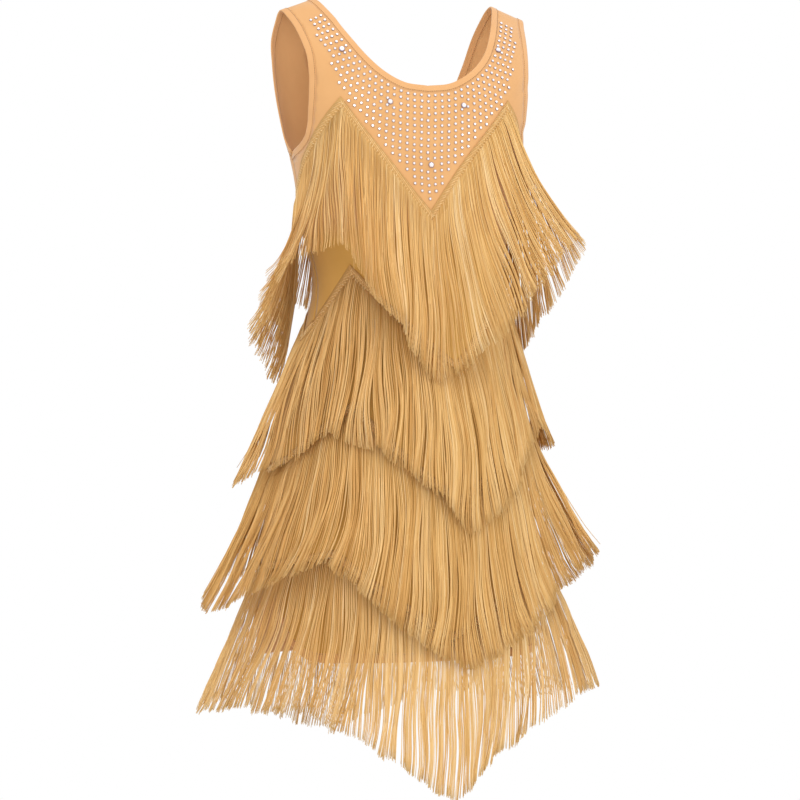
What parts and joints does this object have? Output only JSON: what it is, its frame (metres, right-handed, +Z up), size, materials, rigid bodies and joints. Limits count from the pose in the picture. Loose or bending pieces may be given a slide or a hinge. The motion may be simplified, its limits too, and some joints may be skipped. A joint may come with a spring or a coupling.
{
  "type": "latin dance dress",
  "caption": "Sleeveless latin dance dress, filled out as worn, with a scoop neck, a V yoke, bound arm openings and zigzag tiers of long swinging fringe.",
  "frame": {"origin": "midway between the two shoulder straps, level with their tops at the neck", "axes": "+Z up along the wearer's height, -Y out of the front of the chest, +X to the wearer's left"},
  "size_m": [0.509, 0.3722, 0.9403],
  "materials": {
    "stretch_cloth": "matt tan stretch knit",
    "bound_edge": "matt tan binding, topstitched",
    "fringe_thread": "soft sheen golden-tan rayon thread"
  },
  "bodies": {
    "root": {"front_panel": "stretch_cloth", "back_panel": "stretch_cloth", "neck_binding": "bound_edge", "arm_binding_left": "bound_edge", "arm_binding_right": "bound_edge", "fringe_1_front": "fringe_thread", "fringe_1_back": "fringe_thread", "fringe_2_front": "fringe_thread", "fringe_2_back": "fringe_thread", "fringe_3_front": "fringe_thread", "fringe_3_back": "fringe_thread", "fringe_4_front": "fringe_thread", "fringe_4_back": "fringe_thread"}
  },
  "joints": []
}
